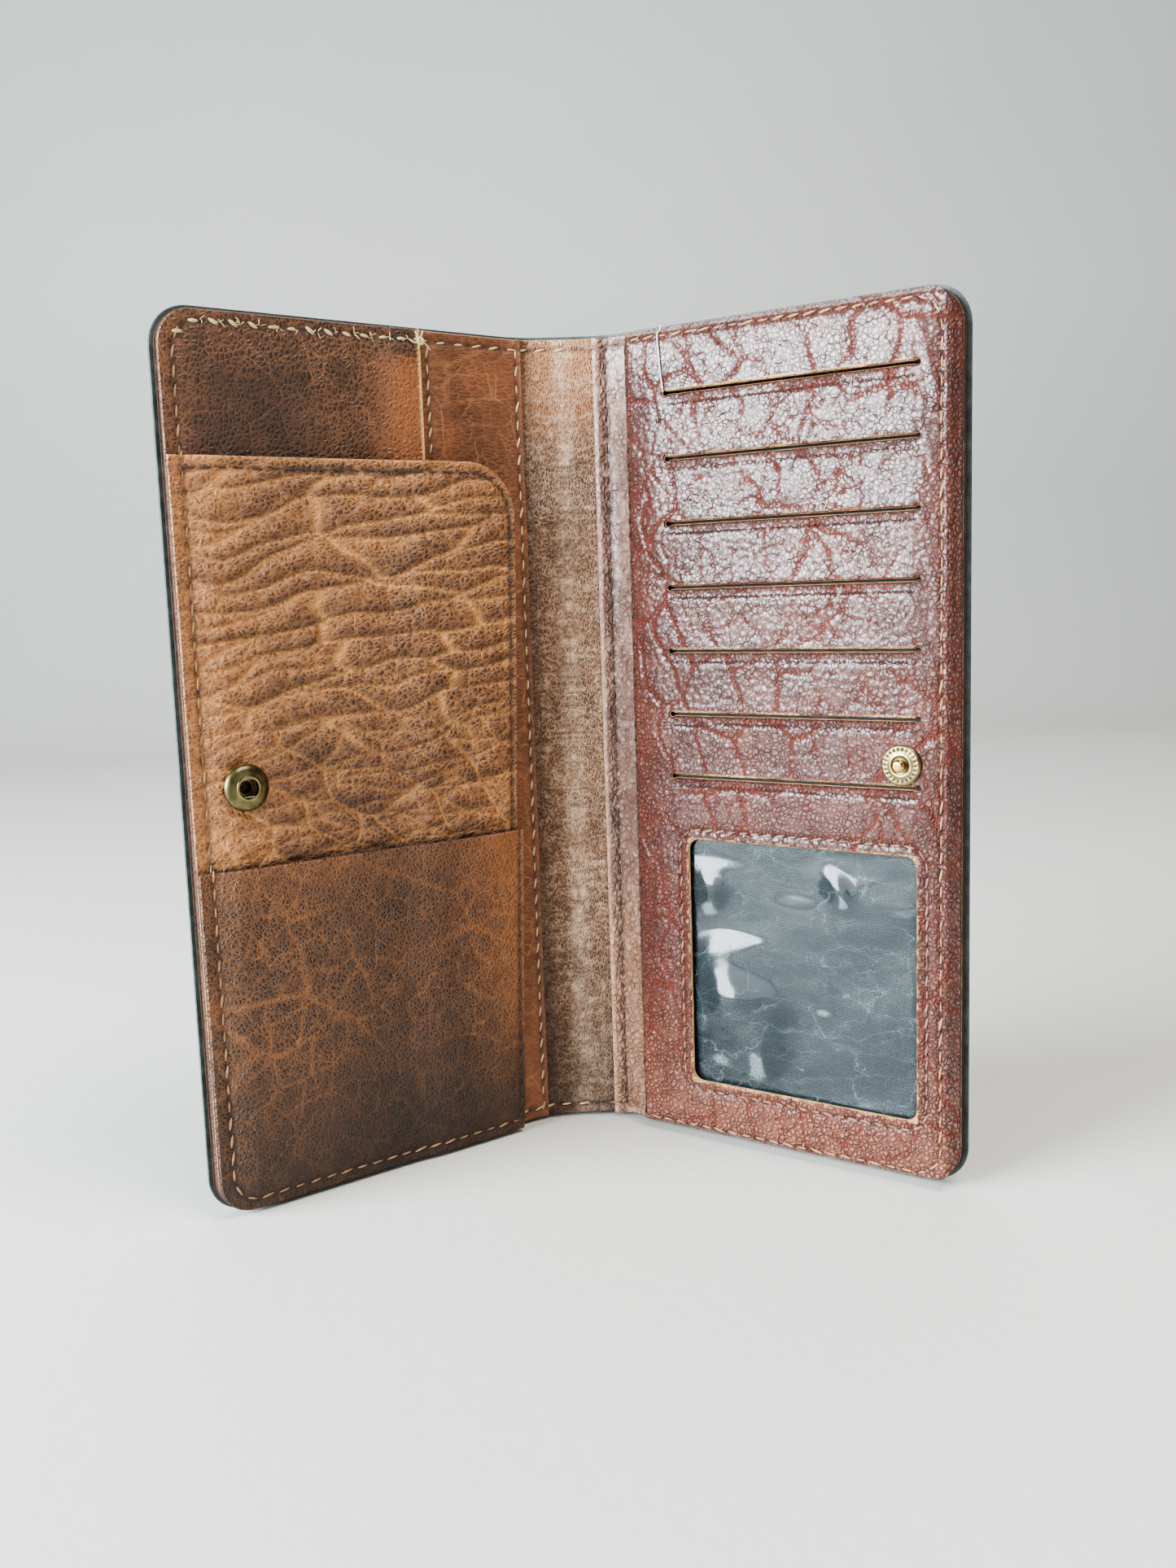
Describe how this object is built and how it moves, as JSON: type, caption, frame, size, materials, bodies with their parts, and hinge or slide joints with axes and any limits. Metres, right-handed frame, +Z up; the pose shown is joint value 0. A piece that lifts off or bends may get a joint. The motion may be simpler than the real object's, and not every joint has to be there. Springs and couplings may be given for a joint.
{
  "type": "phone wallet case",
  "caption": "Long bifold leather wallet case standing open, with a phone pocket, cash pocket, lower pocket, card slits, clear window and ring snap.",
  "frame": {"origin": "middle of the bounding box at its lower edge: between the two leaves, on the surface that the wallet stands on", "axes": "+Z up along the spine, +Y out of the back of the spine, +X towards the leaf with the card slits"},
  "size_m": [0.165, 0.0564, 0.19],
  "materials": {
    "cover_leather": "glossy black smooth leather",
    "spine_leather": "satin brown leather with a fine rippled grain",
    "lining_leather": "matt brown",
    "strip_leather": "smooth brown pull-up leather with light scratches",
    "cash_leather": "smooth dark brown pull-up leather, raw pale cut edge",
    "bison_leather": "wrinkled grain with tan ridges and darker flats",
    "crackle_leather": "dark brown with a fine crackle",
    "pebbled_leather": "reddish brown pebbled grain, glossy",
    "clear_vinyl": "clear, glossy, slightly wavy",
    "window_nylon": "slate grey fine plain weave",
    "pocket_nylon": "slate grey fine plain weave",
    "antique_brass": "antique, rubbed bright on the high spots",
    "spring_steel": "plain drawn wire",
    "waxed_thread": "waxed cotton, cream to tan"
  },
  "bodies": {
    "spine": {"cover_spine": "cover_leather", "spine_lining": "spine_leather", "spine_thread_top": "waxed_thread", "spine_thread_foot": "waxed_thread"},
    "left_leaf": {"cover_left": "cover_leather", "lining_left": "lining_leather", "facing_strip": "strip_leather", "cash_pocket_panel": "cash_leather", "phone_pocket_panel": "bison_leather", "lower_pocket_panel": "crackle_leather", "snap_socket": "antique_brass", "socket_eyelet": "antique_brass", "socket_spring": "spring_steel", "edge_thread_left": "waxed_thread", "fold_thread_left": "waxed_thread", "strip_thread": "waxed_thread", "phone_pocket_thread": "waxed_thread", "lower_pocket_thread": "waxed_thread"},
    "right_leaf": {"cover_right": "cover_leather", "lining_right": "lining_leather", "slip_pocket_panel": "pebbled_leather", "card_panel": "pebbled_leather", "card_pocket_1": "pocket_nylon", "card_pocket_2": "pocket_nylon", "card_pocket_3": "pocket_nylon", "card_pocket_4": "pocket_nylon", "card_pocket_5": "pocket_nylon", "card_pocket_6": "pocket_nylon", "card_pocket_7": "pocket_nylon", "window_pane": "clear_vinyl", "window_lining": "window_nylon", "snap_stud": "antique_brass", "stud_eyelet": "antique_brass", "edge_thread_right": "waxed_thread", "slip_pocket_thread": "waxed_thread", "card_panel_thread": "waxed_thread", "window_thread": "waxed_thread"}
  },
  "joints": [
    {"name": "left_fold", "type": "hinge", "parent": "spine", "child": "left_leaf", "pos_m": [-0.01, 0.02701, 0], "axis": [0, 0, 1], "range_deg": [-36, 56.1]},
    {"name": "right_fold", "type": "hinge", "parent": "spine", "child": "right_leaf", "pos_m": [0.01, 0.02701, 0], "axis": [0, 0, -1], "range_deg": [-36, 56.1]}
  ]
}
